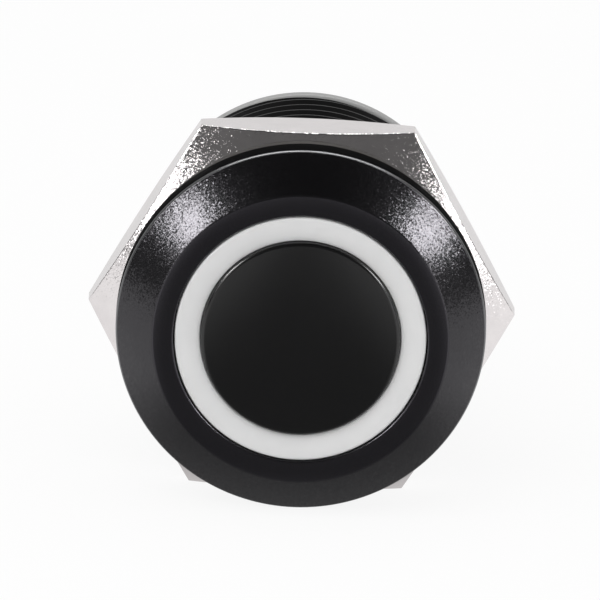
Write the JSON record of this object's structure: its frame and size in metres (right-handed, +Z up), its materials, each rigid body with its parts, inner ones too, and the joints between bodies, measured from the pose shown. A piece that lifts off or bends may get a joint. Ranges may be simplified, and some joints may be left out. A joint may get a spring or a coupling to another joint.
{
  "type": "pushbutton switch",
  "caption": "Round metal panel-mount momentary pushbutton switch with a luminous ring round the button, a threaded barrel, panel seal, hexagon nut and rear pin terminals.",
  "frame": {"origin": "centre of the head's rear face, on the barrel's axis, where the panel seal begins", "axes": "-Y is the way the button faces, +Y runs along the barrel to the terminals, +Z is up"},
  "size_m": [0.0162, 0.0215, 0.014],
  "materials": {
    "anodised_black": "satin black anodised",
    "seal_rubber": "matt",
    "nickel_plate": "bright nickel plate",
    "ring_plastic": "milky translucent, satin",
    "cap_black": "satin black anodised",
    "natural_plastic": "natural acetal",
    "spring_steel": "drawn wire",
    "contact_copper": "sheet copper alloy",
    "contact_silver": "silver",
    "pin_brass": "gold flash",
    "tinned_wire": "tinned",
    "board_laminate": "solder mask",
    "lamp_resin": "clear resin over phosphor",
    "resistor_ceramic": "glazed",
    "block_plastic": "moulded, fine texture",
    "potting_resin": "cast resin"
  },
  "bodies": {
    "housing": {"bezel_shell": "anodised_black", "panel_gasket": "seal_rubber", "contact_block": "block_plastic", "guide_plate": "block_plastic", "sealing_compound": "potting_resin", "led_board": "board_laminate", "led_1": "lamp_resin", "led_2": "lamp_resin", "led_3": "lamp_resin", "led_4": "lamp_resin", "lamp_resistor": "resistor_ceramic", "lamp_lead_plus": "tinned_wire", "lamp_lead_minus": "tinned_wire", "switch_terminal_1": "pin_brass", "switch_terminal_2": "pin_brass", "lamp_terminal_plus": "pin_brass", "lamp_terminal_minus": "pin_brass", "fixed_contact_1": "contact_silver", "fixed_contact_2": "contact_silver", "return_spring": "spring_steel"},
    "plunger": {"light_ring": "ring_plastic", "button_cap": "cap_black", "plunger_seal": "seal_rubber", "pusher": "natural_plastic", "contact_bridge": "contact_copper", "moving_contact_1": "contact_silver", "moving_contact_2": "contact_silver"},
    "nut": {"hex_nut": "nickel_plate"}
  },
  "joints": [
    {"name": "button_press", "type": "slide", "parent": "housing", "child": "plunger", "axis": [0, 1, 0], "range_m": [0, 0.0015], "stiffness_N_per_m": 1500, "springref_m": -0.0013, "deforming": ["return_spring"]},
    {"name": "nut_travel", "type": "slide", "parent": "housing", "child": "nut", "axis": [0, 1, 0], "range_m": [0, 0.007]}
  ]
}
